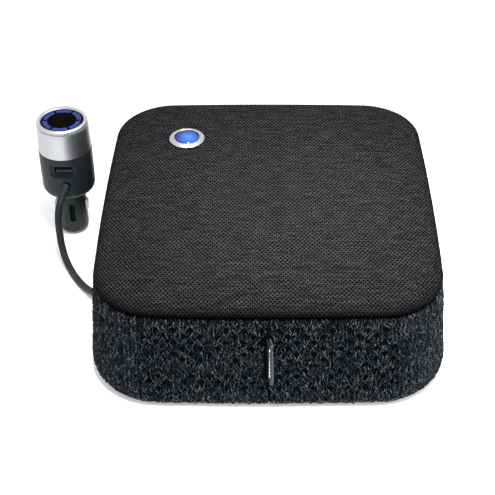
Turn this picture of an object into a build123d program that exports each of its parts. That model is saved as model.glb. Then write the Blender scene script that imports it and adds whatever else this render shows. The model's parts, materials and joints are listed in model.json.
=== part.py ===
from build123d import *
import math
import os

# A fabric-covered speakerphone pod with a 12 V plug on a short lead.
# Millimetres. The pod's underside is centred on the origin, +Z is up and the front faces -Y.

# ---- driving dimensions: pod ----
SEAM_HALF_X = 106.4
SEAM_HALF_Y = 114.3
CORNER_R = 39.0
SIDE_BOW = 2.6
# (growth outside the seam outline, height)
BAND_PROFILE = (
    (-1.0, 0.5),
    (3.2, 3.0),
    (5.6, 8.3),
    (5.3, 16.0),
    (4.0, 27.6),
    (2.2, 52.0),
    (0.2, 68.6),
)
DOME_PROFILE = (
    (0.2, 69.0),
    (-0.6, 71.2),
    (-3.0, 73.6),
    (-6.0, 75.4),
    (-10.0, 76.9),
    (-20.0, 78.9),
    (-40.0, 80.0),
)
INNER_DOME_PROFILE = ((0.2, 70.2),) + DOME_PROFILE[1:]
FOAM_PROFILE = ((-1.2, 70.0),) + DOME_PROFILE[1:]
KNIT_T = 1.6
COVER_T = 1.2
GAP = 0.1
PAD_T = 1.6
PLATE_TOP = 4.6
TUB_GROW = -4.5
TUB_WALL = 2.5
TUB_TOP = 65.5
FRAME_TOP = 68.4
SCREW_HOLE_R = 1.6
HEAD_RECESS_R = 3.2
PILOT_R = 1.5
BOSS_R = 4.2
RIB_T = 3.0
RIB_REACH = 16.0
BUTTON_HOLE_R = 11.0
GRILLE_HOLE_R = 2.4
GRILLE_PITCH = 9.0
SCREW_SPOTS = ((-86, -60), (86, -60), (-86, 60), (86, 60), (0, -98), (0, 98))
BOARD_SPOTS = ((-56, 43), (56, 43), (-56, 83), (56, 83))
MIC_SPOTS = ((-78, -86), (78, -86), (-78, 86), (78, 86))
MIC_PORT_R = 0.8
BOARD_Y = 63.0
BOARD_SIZE = (124.0, 50.0)
BOARD_LOW = 11.0
BOARD_TOP = 12.6

# ---- driving dimensions: ribbon label, folded and sewn into the front seam ----
LABEL_LOW = 25.5
LABEL_HIGH = 54.5
LABEL_FRONT = 125.6
LABEL_DEPTH = 12.0
LABEL_T = 2.4
LABEL_LEAN = 11.0

# ---- driving dimensions: power button on the pod ----
BUTTON_X = -55.5
BUTTON_Y = 57.5
BEZEL_R = 12.0
BEZEL_TOP = 82.0
LENS_R = 8.25
BUTTON_BOARD_LOW = 55.6
BUTTON_BOARD_TOP = 57.0

# ---- driving dimensions: loudspeaker ----
DRIVER_Y = -12.0
DRIVER_R = 50.0
DRIVER_TOP = 60.0
PILLAR_R = 3.2

# ---- driving dimensions: plug ----
PLUG_X = -140.8
PLUG_Y = 63.7
BARREL_R = 10.5
HEAD_R = 18.4
HEAD_BASE = 35.0
HEAD_TOP = 69.5
COLLAR_TOP = 92.0
FACE_Z = 91.0
FACE_R = 14.2
CONTACT_Z = 21.0
CONTACT_R = 12.0
FUSE_LOW = 4.6
FUSE_TOP = 24.6
FUSE_PLATE_Z = 36.0
WINDOW_X = 1.5
WINDOW_Z = 19.4
WINDOW_LENGTH = 15.4
WINDOW_WIDTH = 3.9
USB_Z = 60.0
USB_MOUTH = (13.5, 5.9)
USB_RECESS = (17.5, 10.2)
USB_FLOOR = 15.2
RELIEF_R = 3.3
ENCODER_LOW = 73.3
DISPLAY_BOARD_LOW = 78.0
DISPLAY_BOARD_TOP = 79.2
ARC_IN = 10.0
ARC_OUT = 13.3

# ---- lead ----
CORD_R = 2.5
GLAND_LENGTH = 24.0
GLAND_R = 3.9
ROUTE = (
    (-114.2, -20.8, 7.9),
    (-118.8, -16.0, 5.2),
    (-123.4, -10.2, 3.3),
    (-128.4, -3.3, 2.5),
    (-133.4, 4.5, 2.5),
    (-137.6, 12.6, 2.7),
    (-140.9, 18.8, 4.9),
    (-143.2, 24.0, 9.1),
    (-144.6, 27.4, 15.0),
    (-145.0, 28.9, 27.0),
    (-144.6, 30.2, 35.8),
    (-143.6, 33.6, 41.6),
    (-142.1, 38.6, 44.4),
)

os.makedirs("parts", exist_ok=True)


def save(builder, name):
    builder.part.label = name
    export_step(builder.part, f"parts/{name}.step")


def outline(grow, height):
    """Rounded rectangle with bowed sides, `grow` outside the seam line."""
    half_x = SEAM_HALF_X + grow
    half_y = SEAM_HALF_Y + grow
    edge_x = half_x - SIDE_BOW
    edge_y = half_y - SIDE_BOW
    with BuildSketch(Plane.XY.offset(height)) as sketch:
        with BuildLine():
            ThreePointArc((-edge_x, -edge_y), (0, -half_y), (edge_x, -edge_y))
            ThreePointArc((edge_x, -edge_y), (half_x, 0), (edge_x, edge_y))
            ThreePointArc((edge_x, edge_y), (0, half_y), (-edge_x, edge_y))
            ThreePointArc((-edge_x, edge_y), (-half_x, 0), (-edge_x, -edge_y))
        make_face()
        fillet(sketch.vertices(), max(CORNER_R + 0.8 * grow, 8))
    return sketch.sketch


def stack(profile, inset=0.0, drop=0.0):
    """Outlines for a loft through a (growth, height) profile, drawn inwards by `inset`."""
    return [outline(grow - inset, height - drop) for grow, height in profile]


def axis_plane(x, y, z=0.0):
    """Upright plane through a vertical axis: local x is +X, local y is +Z, its normal is -Y."""
    return Plane(origin=(x, y, z), x_dir=(1, 0, 0), z_dir=(0, -1, 0))


def turned(points, plane, mode=Mode.ADD):
    """Solid of revolution of a closed (radius, height) profile about the plane's local y."""
    with BuildSketch(plane) as section:
        with BuildLine():
            Polyline(*points, close=True)
        make_face()
    revolve(section.sketch, axis=Axis(plane.origin, plane.y_dir), mode=mode)


def ring(x, y, inner, outer, low, high, mode=Mode.ADD):
    """Upright tube, or a disc where `inner` is 0."""
    with BuildSketch(Plane((x, y, low))) as section:
        Circle(outer)
        if inner:
            Circle(inner, mode=Mode.SUBTRACT)
    extrude(section.sketch, amount=high - low, mode=mode)


def block(x, y, size_x, size_y, low, high, corner=0.0, mode=Mode.ADD):
    """Upright block with rounded corners, centred on (x, y)."""
    with BuildSketch(Plane((x, y, low))) as section:
        if corner:
            RectangleRounded(size_x, size_y, corner)
        else:
            Rectangle(size_x, size_y)
    extrude(section.sketch, amount=high - low, mode=mode)


def coil(x, y, radius, wire, low, high, turns):
    """Helical compression spring between two heights."""
    rise = (high - low) - 2 * wire
    path = Helix(rise / turns, rise, radius, center=(x, y, low + wire))
    with BuildSketch(Plane(origin=path @ 0, z_dir=path % 0)) as section:
        Circle(wire)
    sweep(section.sketch, path=path, is_frenet=True)


# =====================================================================  pod shell
gland_mouth = Vector(*ROUTE[0])
gland_dir = (gland_mouth - Vector(*ROUTE[1])).normalized()
gland_plane = Plane(origin=gland_mouth, z_dir=gland_dir)


def gland_hole(radius):
    """Slanting hole for the lead's strain relief through whatever is being built."""
    with BuildSketch(gland_plane.offset(-12)) as section:
        Circle(radius)
    extrude(section.sketch, amount=GLAND_LENGTH + 16, mode=Mode.SUBTRACT)


with BuildPart() as base_pad:
    extrude(outline(-8, 0), amount=PAD_T)
save(base_pad, "base_pad")

with BuildPart() as base_plate:
    extrude(outline(TUB_GROW, PAD_T), amount=PLATE_TOP - PAD_T)
    for x, y in SCREW_SPOTS:
        ring(x, y, 0, SCREW_HOLE_R, 0, 10, Mode.SUBTRACT)
        ring(x, y, 0, HEAD_RECESS_R, 0, 3.6, Mode.SUBTRACT)
    for x, y in BOARD_SPOTS:
        ring(x, y, 1.1, 3.2, PLATE_TOP, BOARD_LOW)
save(base_plate, "base_plate")

with BuildPart() as tub:
    extrude(outline(TUB_GROW, PLATE_TOP), amount=TUB_TOP - PLATE_TOP)
    extrude(outline(TUB_GROW - TUB_WALL, PLATE_TOP), amount=TUB_TOP - PLATE_TOP, mode=Mode.SUBTRACT)
    for x, y in SCREW_SPOTS:
        ring(x, y, 0, BOSS_R, PLATE_TOP, TUB_TOP)
        if x:
            block(x + math.copysign(RIB_REACH / 2, x), y, RIB_REACH, RIB_T, PLATE_TOP, TUB_TOP)
        else:
            block(x, y + math.copysign(RIB_REACH / 2, y), RIB_T, RIB_REACH, PLATE_TOP, TUB_TOP)
    extrude(outline(TUB_GROW, PLATE_TOP), amount=TUB_TOP - PLATE_TOP, mode=Mode.INTERSECT)
    for x, y in SCREW_SPOTS:
        ring(x, y, 0, PILOT_R, PLATE_TOP, 18, Mode.SUBTRACT)
        ring(x, y, 0, PILOT_R, TUB_TOP - 12, TUB_TOP, Mode.SUBTRACT)
    gland_hole(GLAND_R + 0.1)
save(tub, "housing_tub")

with BuildPart() as side_foam:
    loft(stack(BAND_PROFILE[1:], KNIT_T + GAP), ruled=True)
    extrude(outline(TUB_GROW + GAP, 0), amount=80, mode=Mode.SUBTRACT)
    extrude(outline(10, TUB_TOP), amount=10, mode=Mode.SUBTRACT)
    gland_hole(GLAND_R + 0.3)
save(side_foam, "side_foam")

with BuildPart() as side_band:
    loft(stack(BAND_PROFILE), ruled=True)
    loft(stack(BAND_PROFILE, KNIT_T), ruled=True, mode=Mode.SUBTRACT)
    gland_hole(GLAND_R + 0.4)
save(side_band, "side_band")

with BuildPart() as top_frame:
    extrude(outline(TUB_GROW, TUB_TOP), amount=FRAME_TOP - TUB_TOP)
    with BuildSketch(Plane.XY.offset(TUB_TOP)) as grille:
        for row, count in enumerate((1, 6, 12, 18, 24)):
            with Locations((0, DRIVER_Y)):
                with PolarLocations(GRILLE_PITCH * row, count):
                    Circle(GRILLE_HOLE_R)
        with Locations((BUTTON_X, BUTTON_Y)):
            Circle(11.2)
    extrude(grille.sketch, amount=FRAME_TOP - TUB_TOP, mode=Mode.SUBTRACT)
    for x, y in SCREW_SPOTS:
        ring(x, y, 0, SCREW_HOLE_R, TUB_TOP, FRAME_TOP, Mode.SUBTRACT)
        ring(x, y, 0, HEAD_RECESS_R, FRAME_TOP - 1.2, FRAME_TOP, Mode.SUBTRACT)
    for x, y in MIC_SPOTS:
        ring(x, y, 0, MIC_PORT_R, TUB_TOP, FRAME_TOP, Mode.SUBTRACT)
    with Locations((0, DRIVER_Y)):
        with PolarLocations(DRIVER_R - 2.8, 4, start_angle=45) as spots:
            pillars = [(spot.position.X, spot.position.Y) for spot in spots]
    for x, y in pillars:
        ring(x, y, 1.3, PILLAR_R, DRIVER_TOP, TUB_TOP)
save(top_frame, "top_frame")

with BuildPart() as top_foam:
    loft(stack(FOAM_PROFILE, COVER_T + GAP, COVER_T + GAP), ruled=True)
    ring(BUTTON_X, BUTTON_Y, 0, BEZEL_R + 0.3, 60, 90, Mode.SUBTRACT)
save(top_foam, "top_foam")

with BuildPart() as top_cover:
    loft(stack(DOME_PROFILE), ruled=True)
    loft(stack(INNER_DOME_PROFILE, COVER_T, COVER_T), ruled=True, mode=Mode.SUBTRACT)
    ring(BUTTON_X, BUTTON_Y, 0, BUTTON_HOLE_R, 60, 90, Mode.SUBTRACT)
save(top_cover, "top_cover")

with BuildPart() as front_label:
    with BuildSketch(Plane.XY.offset(LABEL_LOW)) as label_section:
        with Locations((1.4, LABEL_DEPTH / 2 - LABEL_FRONT)):
            SlotOverall(LABEL_DEPTH, LABEL_T, rotation=90 + LABEL_LEAN)
    extrude(amount=LABEL_HIGH - LABEL_LOW)
    loft(stack(BAND_PROFILE, -0.05), ruled=True, mode=Mode.SUBTRACT)
save(front_label, "front_label")

# =====================================================================  loudspeaker
speaker = axis_plane(0, DRIVER_Y)

with BuildPart() as basket:
    turned(
        (
            (35, 38),
            (45, 57),
            (DRIVER_R, 57),
            (DRIVER_R, DRIVER_TOP),
            (42.6, DRIVER_TOP),
            (32.6, 40),
            (15, 40),
            (15, 38),
        ),
        speaker,
    )
    with Locations(Plane((0, DRIVER_Y, 48.5))):
        with PolarLocations(38, 6):
            Box(24, 17, 13, mode=Mode.SUBTRACT)
    for x, y in pillars:
        ring(x, y, 0, 1.4, 50, 61, Mode.SUBTRACT)
save(basket, "driver_basket")

with BuildPart() as magnet:
    turned(
        (
            (0, 19),
            (32, 19),
            (32, 38),
            (13.8, 38),
            (13.8, 34),
            (17, 34),
            (17, 23),
            (11.4, 23),
            (11.4, 38),
            (0, 38),
        ),
        speaker,
    )
save(magnet, "driver_magnet")

with BuildPart() as cone:
    turned(
        (
            (12.2, 30),
            (12.8, 30),
            (12.8, 45),
            (38.2, 57.4),
            (38.2, 58.1),
            (13.6, 46.1),
            (11.0, 49.0),
            (6.0, 51.0),
            (0, 51.6),
            (0, 51.0),
            (5.8, 50.4),
            (10.6, 48.5),
            (12.2, 46.4),
        ),
        speaker,
    )
save(cone, "driver_cone")

with BuildPart() as surround:
    with BuildSketch(speaker) as roll:
        with BuildLine():
            ThreePointArc((38.3, 58.3), (41.5, 62.6), (44.9, 60.1))
            Line((44.9, 60.1), (49.0, 60.1))
            Line((49.0, 60.1), (49.0, 60.7))
            Line((49.0, 60.7), (45.4, 60.7))
            ThreePointArc((45.4, 60.7), (41.5, 63.3), (37.8, 58.9))
            Line((37.8, 58.9), (36.8, 58.4))
            Line((36.8, 58.4), (38.3, 58.3))
        make_face()
    revolve(axis=Axis(speaker.origin, speaker.y_dir))
    for x, y in pillars:
        ring(x, y, 0, PILLAR_R + 0.3, 55, 66, Mode.SUBTRACT)
save(surround, "driver_surround")

with BuildPart() as spider:
    turned(
        (
            (12.9, 42.6),
            (25, 42.6),
            (27, 40.05),
            (31.5, 40.05),
            (31.5, 40.7),
            (27.4, 40.7),
            (25.4, 43.2),
            (12.9, 43.2),
        ),
        speaker,
    )
save(spider, "driver_spider")

# =====================================================================  fixings
def pan_screw(x, y, head_low, shank_low, shank_high, head_r=2.9, shank_r=1.4, head_h=1.7):
    """Screw whose head sits at `head_low`, with a cross recess in its driven end."""
    ring(x, y, 0, head_r, head_low, head_low + head_h)
    ring(x, y, 0, shank_r, shank_low, shank_high)
    driven = head_low if shank_high > head_low + head_h else head_low + head_h - 0.9
    for turn in (0, 90):
        wide = 3.0 if turn else 0.7
        deep = 0.7 if turn else 3.0
        block(x, y, wide, deep, driven, driven + 0.9, mode=Mode.SUBTRACT)


with BuildPart() as base_screws:
    for x, y in SCREW_SPOTS:
        pan_screw(x, y, 1.8, 3.5, 15)
save(base_screws, "base_screws")

with BuildPart() as frame_screws:
    for x, y in SCREW_SPOTS:
        pan_screw(x, y, FRAME_TOP - 1.2, TUB_TOP - 9, FRAME_TOP - 0.7, head_h=1.1)
save(frame_screws, "frame_screws")

with BuildPart() as driver_screws:
    for x, y in pillars:
        pan_screw(x, y, 55.5, 56.5, 64, head_r=2.0, shank_r=1.15, head_h=1.5)
save(driver_screws, "driver_screws")

# =====================================================================  electronics in the pod
with BuildPart() as main_board:
    block(0, BOARD_Y, *BOARD_SIZE, BOARD_LOW, BOARD_TOP, corner=3)
    for x, y in BOARD_SPOTS:
        ring(x, y, 0, 1.3, 10, 14, Mode.SUBTRACT)
save(main_board, "main_board")

with BuildPart() as board_screws:
    for x, y in BOARD_SPOTS:
        pan_screw(x, y, BOARD_TOP, 7, BOARD_TOP + 0.1, head_r=2.2, shank_r=1.0, head_h=1.5)
save(board_screws, "board_screws")

with BuildPart() as radio_module:
    block(34, 72, 18, 26, BOARD_TOP, 13.4)
    block(34, 69, 14, 16, 13.4, 15.2, corner=0.6)
save(radio_module, "radio_module")

with BuildPart() as processor:
    block(4, 72, 12, 12, BOARD_TOP, 14.0, corner=0.4)
save(processor, "echo_processor")

with BuildPart() as amplifier:
    block(-26, 66, 9, 9, BOARD_TOP, 13.8, corner=0.3)
    block(-26, 80, 12, 12, BOARD_TOP, 18.6, corner=1.5)
save(amplifier, "amplifier_and_choke")

with BuildPart() as capacitors:
    for x in (-8, 4, 16):
        ring(x, 52, 0, 4, BOARD_TOP, 23)
save(capacitors, "board_capacitors")

with BuildPart() as lead_socket:
    block(-56.5, 64, 8, 12, BOARD_TOP, 19.6)
    block(-58.5, 64, 8, 9, 14.6, 18.0, mode=Mode.SUBTRACT)
save(lead_socket, "lead_socket")

with BuildPart() as mic_boots:
    for x, y in MIC_SPOTS:
        ring(x, y, 1.0, 5.0, 62.0, TUB_TOP)
        ring(x, y, 0, 2.6, 62.0, 63.5, Mode.SUBTRACT)
save(mic_boots, "microphone_boots")

with BuildPart() as mics:
    for x, y in MIC_SPOTS:
        ring(x, y, 0, 7.0, 60.6, 62.0)
        ring(x, y, 0, 2.4, 62.0, 63.3)
save(mics, "microphones")

# =====================================================================  power button
button = axis_plane(BUTTON_X, BUTTON_Y)

with BuildPart() as bezel:
    turned(
        (
            (9.5, 70),
            (10.7, 70),
            (10.7, 80.15),
            (BEZEL_R, 80.15),
            (BEZEL_R, 80.6),
            (11.3, 81.2),
            (10.3, 81.7),
            (9.2, BEZEL_TOP),
            (LENS_R + 0.35, BEZEL_TOP - 0.3),
            (LENS_R + 0.35, 79.4),
            (9.5, 79.4),
        ),
        button,
    )
    fillet(bezel.edges().filter_by(GeomType.CIRCLE).group_by(Axis.Z)[-1], 0.3)
save(bezel, "button_bezel")

with BuildPart() as button_cap:
    turned(
        (
            (0, 59.4),
            (1.7, 59.4),
            (1.7, 62.5),
            (2.6, 62.5),
            (2.6, 76),
            (9.05, 76),
            (9.05, 77.4),
            (LENS_R, 77.4),
            (LENS_R, 81.1),
            (7.4, 81.7),
            (6.0, 82.1),
            (3.2, 82.5),
            (0, 82.6),
        ),
        button,
    )
save(button_cap, "button_lens")

with BuildPart() as button_cup:
    turned(
        (
            (0, 54),
            (10.9, 54),
            (10.9, 62.4),
            (14, 62.4),
            (14, 65.4),
            (10.9, 65.4),
            (10.9, 69.9),
            (9.4, 69.9),
            (9.4, BUTTON_BOARD_LOW),
            (0, BUTTON_BOARD_LOW),
        ),
        button,
    )
    ring(BUTTON_X, BUTTON_Y, 0, 3, 50, 56, Mode.SUBTRACT)
save(button_cup, "button_housing")

with BuildPart() as button_board:
    ring(BUTTON_X, BUTTON_Y, 0, 9.2, BUTTON_BOARD_LOW, BUTTON_BOARD_TOP)
save(button_board, "button_board")

with BuildPart() as button_switch:
    block(BUTTON_X, BUTTON_Y, 6, 6, BUTTON_BOARD_TOP, 60.8, corner=0.4)
    ring(BUTTON_X, BUTTON_Y, 0, 2.0, 57.9, 62, Mode.SUBTRACT)
save(button_switch, "button_switch")

with BuildPart() as button_leds:
    with Locations((BUTTON_X, BUTTON_Y, BUTTON_BOARD_TOP + 0.5)):
        with PolarLocations(7.5, 4, start_angle=45):
            Box(1.6, 2.4, 1.0)
save(button_leds, "button_leds")

with BuildPart() as button_spring:
    coil(BUTTON_X, BUTTON_Y, 5.3, 0.35, 57.05, 75.95, 5)
save(button_spring, "button_spring")

# =====================================================================  plug: barrel and contacts
plug = axis_plane(PLUG_X, PLUG_Y)


def plug_front(distance, z):
    """Plane square to the plug's front, `distance` ahead of its axis, with its normal forwards."""
    return Plane(origin=(PLUG_X, PLUG_Y - distance, z), x_dir=(1, 0, 0), z_dir=(0, -1, 0))


with BuildPart() as barrel:
    ring(PLUG_X, PLUG_Y, 8.4, BARREL_R, 5, HEAD_BASE)
    ring(PLUG_X, PLUG_Y, 6.6, 8.4, HEAD_BASE - 2, HEAD_BASE + 2.4)
    block(PLUG_X, PLUG_Y, 40, 5.2, CONTACT_Z - 4.8, CONTACT_Z + 4.8, mode=Mode.SUBTRACT)
    with BuildSketch(plug_front(0, WINDOW_Z)) as window_hole:
        with Locations((WINDOW_X, 0)):
            SlotOverall(WINDOW_LENGTH, WINDOW_WIDTH, rotation=90)
    extrude(window_hole.sketch, amount=20, mode=Mode.SUBTRACT)
save(barrel, "plug_barrel")

with BuildPart() as nose:
    turned(
        (
            (3.7, 1.2),
            (8.2, 1.2),
            (9.6, 2.0),
            (10.3, 3.3),
            (BARREL_R, 5),
            (8.3, 5),
            (8.3, 7.6),
            (7.0, 7.6),
            (7.0, 3.2),
            (3.7, 3.2),
        ),
        plug,
    )
save(nose, "plug_nose_cap")

with BuildPart() as tip:
    turned(
        ((0, 0), (1.4, 0), (2.6, 0.5), (3.3, 1.6), (3.3, 3.4), (5.6, 3.4), (5.6, FUSE_LOW), (0, FUSE_LOW)),
        plug,
    )
save(tip, "tip_contact")

with BuildPart() as fuse:
    ring(PLUG_X, PLUG_Y, 0, 2.6, FUSE_LOW, 10)
    ring(PLUG_X, PLUG_Y, 0, 2.4, 10, 19)
    ring(PLUG_X, PLUG_Y, 0, 2.6, 19, FUSE_TOP)
save(fuse, "plug_fuse")

with BuildPart() as tip_spring:
    coil(PLUG_X, PLUG_Y, 2.3, 0.35, FUSE_TOP + 0.05, FUSE_PLATE_Z - 0.05, 5)
save(tip_spring, "tip_spring")

with BuildPart() as fuse_plate:
    ring(PLUG_X, PLUG_Y, 0, 6.4, FUSE_PLATE_Z, FUSE_PLATE_Z + 0.8)
save(fuse_plate, "fuse_contact_plate")

for side, name in ((-1, "side_contact_left"), (1, "side_contact_right")):
    with BuildPart() as contact:
        with BuildSketch(axis_plane(PLUG_X, PLUG_Y, CONTACT_Z)) as bow:
            with BuildLine():
                Polyline(
                    (side * 7.6, -4.4),
                    (side * 10.8, -4.4),
                    (side * CONTACT_R, -2.6),
                    (side * CONTACT_R, 2.6),
                    (side * 10.8, 4.4),
                    (side * 7.6, 4.4),
                    close=True,
                )
            make_face()
            with Locations((side * 7.1, 0)):
                Rectangle(1.0, 11.6)
        extrude(bow.sketch, amount=2.25, both=True)
    save(contact, name)

with BuildPart() as window:
    with BuildSketch(plug_front(0, WINDOW_Z)) as window_shape:
        with Locations((WINDOW_X, 0)):
            SlotOverall(WINDOW_LENGTH - 0.2, WINDOW_WIDTH - 0.2, rotation=90)
    extrude(window_shape.sketch, amount=20)
    ring(PLUG_X, PLUG_Y, 8.6, 9.8, 5, HEAD_BASE, Mode.INTERSECT)
save(window, "indicator_window")

# =====================================================================  plug: head
relief_mouth = Vector(*ROUTE[-1])
relief_dir = (relief_mouth - Vector(*ROUTE[-2])).normalized()
relief_plane = Plane(origin=relief_mouth, z_dir=relief_dir)

with BuildPart() as head:
    turned(
        (
            (8.5, HEAD_BASE),
            (12.8, HEAD_BASE),
            (15.2, 35.9),
            (17.2, 37.6),
            (18.1, 39.4),
            (HEAD_R, 41.4),
            (HEAD_R, 67.3),
            (16.2, 67.3),
            (16.2, 41),
            (14.5, 38.2),
            (8.5, 37.4),
        ),
        plug,
    )
    with BuildSketch(plug_front(USB_FLOOR - 2, USB_Z)) as usb_land:
        RectangleRounded(USB_RECESS[0] + 2.6, USB_RECESS[1] + 2.4, 2.8)
    extrude(usb_land.sketch, amount=5)
    ring(PLUG_X, PLUG_Y, 0, HEAD_R, HEAD_BASE, HEAD_TOP, Mode.INTERSECT)
    with BuildSketch(plug_front(USB_FLOOR, USB_Z)) as usb_recess:
        RectangleRounded(*USB_RECESS, 1.6)
    extrude(usb_recess.sketch, amount=5, mode=Mode.SUBTRACT)
    with BuildSketch(plug_front(12, USB_Z)) as usb_hole:
        RectangleRounded(*USB_MOUTH, 0.5)
    extrude(usb_hole.sketch, amount=10, mode=Mode.SUBTRACT)
    with BuildSketch(relief_plane.offset(-6)) as relief_hole:
        Circle(RELIEF_R + 0.15)
    extrude(relief_hole.sketch, amount=18, mode=Mode.SUBTRACT)
save(head, "plug_head")

with BuildPart() as head_lid:
    ring(PLUG_X, PLUG_Y, 5.0, HEAD_R, 67.3, HEAD_TOP)
save(head_lid, "head_lid")

with BuildPart() as usb_shell:
    with BuildSketch(plug_front(6.6, USB_Z)) as usb_outer:
        RectangleRounded(USB_MOUTH[0] - 0.4, USB_MOUTH[1] - 0.3, 0.4)
    extrude(usb_outer.sketch, amount=8.3)
    with BuildSketch(plug_front(6.6, USB_Z)) as usb_inner:
        RectangleRounded(USB_MOUTH[0] - 1.0, USB_MOUTH[1] - 0.9, 0.3)
    extrude(usb_inner.sketch, amount=8.3, mode=Mode.SUBTRACT)
save(usb_shell, "usb_shell")

with BuildPart() as usb_tongue:
    with BuildSketch(plug_front(6.7, USB_Z)) as usb_back:
        Rectangle(12.3, 4.8)
    extrude(usb_back.sketch, amount=1.6)
    with BuildSketch(plug_front(8.0, USB_Z - 1.1)) as usb_blade:
        Rectangle(11.1, 1.9)
    extrude(usb_blade.sketch, amount=6.4)
save(usb_tongue, "usb_tongue")

with BuildPart() as plug_board:
    block(PLUG_X, PLUG_Y - 5.9, 25, 1.2, 43, 66)
save(plug_board, "plug_board")

with BuildPart() as plug_parts:
    block(PLUG_X - 5, PLUG_Y - 1.3, 8, 8, 46, 54, corner=1)
    block(PLUG_X + 6, PLUG_Y - 3.3, 6, 4, 46, 52)
    block(PLUG_X + 4, PLUG_Y - 3.8, 8, 3, 56, 62)
save(plug_parts, "plug_converter_parts")

with BuildPart() as relief:
    with BuildSketch(relief_plane) as relief_tip:
        Circle(2.8)
    with BuildSketch(relief_plane.offset(9)) as relief_root:
        Circle(RELIEF_R)
    loft([relief_tip.sketch, relief_root.sketch])
save(relief, "plug_strain_relief")

# =====================================================================  plug: knob and display
with BuildPart() as pillar:
    turned(
        (
            (5.0, HEAD_TOP),
            (8.0, HEAD_TOP),
            (8.0, 76),
            (FACE_R, 76),
            (FACE_R, 89.4),
            (12.7, 89.4),
            (12.7, DISPLAY_BOARD_LOW),
            (5.0, DISPLAY_BOARD_LOW),
        ),
        plug,
    )
save(pillar, "display_pillar")

with BuildPart() as collar:
    turned(
        (
            (8.06, 70.3),
            (14.0, 70.3),
            (14.0, 69.9),
            (HEAD_R - 0.2, 69.9),
            (17.6, 89.0),
            (16.9, 89.2),
            (16.9, 89.8),
            (17.5, 90.0),
            (17.2, 91.3),
            (16.4, COLLAR_TOP),
            (15.2, 91.8),
            (14.6, 90.9),
            (14.6, 73),
            (8.06, 73),
        ),
        plug,
    )
save(collar, "volume_collar")

with BuildPart() as encoder:
    ring(PLUG_X, PLUG_Y, 8.3, 13.8, ENCODER_LOW, ENCODER_LOW + 2.6)
save(encoder, "rotary_encoder")

with BuildPart() as display_board:
    ring(PLUG_X, PLUG_Y, 0, 12.4, DISPLAY_BOARD_LOW, DISPLAY_BOARD_TOP)
save(display_board, "display_board")

with BuildPart() as call_switch:
    block(PLUG_X, PLUG_Y, 6, 6, DISPLAY_BOARD_TOP, 82.6, corner=0.4)
    ring(PLUG_X, PLUG_Y, 0, 1.9, 80.0, 83, Mode.SUBTRACT)
save(call_switch, "call_switch")

with BuildPart() as display_leds:
    with Locations((PLUG_X, PLUG_Y, DISPLAY_BOARD_TOP + 0.5)):
        with PolarLocations(10.6, 6, start_angle=30):
            Box(2.0, 2.6, 1.0)
save(display_leds, "display_leds")


def light_arcs(margin, low, high, mode=Mode.ADD):
    """Six arc-shaped windows, their spokes at 0, 60 ... 300 degrees."""
    with BuildSketch(Plane((PLUG_X, PLUG_Y, low))) as arcs:
        Circle(ARC_OUT - margin)
        Circle(ARC_IN + margin, mode=Mode.SUBTRACT)
        for turn in (0, 60, 120):
            Rectangle(40, 1.5 + 2 * margin, rotation=turn, mode=Mode.SUBTRACT)
    extrude(arcs.sketch, amount=high - low, mode=mode)


with BuildPart() as display_face:
    ring(PLUG_X, PLUG_Y, 9.4, FACE_R, 89.4, FACE_Z)
    light_arcs(0, 89, 92, Mode.SUBTRACT)
save(display_face, "display_face")

with BuildPart() as lights:
    light_arcs(0.05, 89.45, FACE_Z + 0.05)
save(lights, "light_segments")

with BuildPart() as call_button:
    turned(((0, 81.2), (1.6, 81.2), (1.6, 87.6), (9.1, 87.6), (9.1, 90.9), (8.8, 91.15), (0, 91.35)), plug)
save(call_button, "call_button")

# =====================================================================  lead
with BuildPart() as gland:
    with BuildSketch(gland_plane) as gland_tip:
        Circle(2.95)
    with BuildSketch(gland_plane.offset(8)) as gland_root:
        Circle(GLAND_R)
    loft([gland_tip.sketch, gland_root.sketch])
    with BuildSketch(gland_plane.offset(8)) as gland_body:
        Circle(GLAND_R)
    extrude(gland_body.sketch, amount=GLAND_LENGTH - 8)
save(gland, "lead_gland")


def corner_radii(points, share=0.45):
    """Largest tangent arc at each inner point: `share` of its shorter run over tan(half turn)."""
    radii = []
    for before, here, after in zip(points, points[1:], points[2:]):
        run_in = Vector(*here) - Vector(*before)
        run_out = Vector(*after) - Vector(*here)
        half_turn = math.radians(run_in.get_angle(run_out)) / 2
        radii.append(share * min(run_in.length, run_out.length) / math.tan(half_turn))
    return radii


cord_radii = corner_radii(ROUTE)
with BuildPart() as cord:
    with BuildLine() as cord_line:
        FilletPolyline(*ROUTE, radius=cord_radii)
    with BuildSketch(Plane(origin=cord_line.line @ 0, z_dir=cord_line.line % 0)):
        Circle(CORD_R)
    sweep()
save(cord, "power_lead")

cord_length = cord_line.wires()[0].length
print("lead: length", round(cord_length, 1), "radii", [round(r, 1) for r in cord_radii])
swept = math.pi * CORD_R**2 * cord_length
print("lead: volume", round(cord.part.volume, 1), "section x length", round(swept, 1))
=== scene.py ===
import bmesh
import bpy
import json
import math
import numpy as np
from mathutils import Matrix, Vector


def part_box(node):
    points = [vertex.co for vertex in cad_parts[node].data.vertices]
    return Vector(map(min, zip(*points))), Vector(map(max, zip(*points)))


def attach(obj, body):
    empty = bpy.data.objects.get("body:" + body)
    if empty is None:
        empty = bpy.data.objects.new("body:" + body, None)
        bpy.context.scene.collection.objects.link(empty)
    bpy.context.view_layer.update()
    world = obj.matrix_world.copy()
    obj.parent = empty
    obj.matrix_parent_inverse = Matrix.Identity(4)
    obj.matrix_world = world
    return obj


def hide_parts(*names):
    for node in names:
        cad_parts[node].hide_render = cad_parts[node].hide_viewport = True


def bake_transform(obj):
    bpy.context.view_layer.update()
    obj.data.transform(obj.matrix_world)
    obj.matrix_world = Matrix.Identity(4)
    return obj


# Looks for a fabric-covered speakerphone pod with a 12 V plug on a short lead.
# Metres. The pod's underside is centred on the origin, +Z is up and the front faces -Y.

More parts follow.
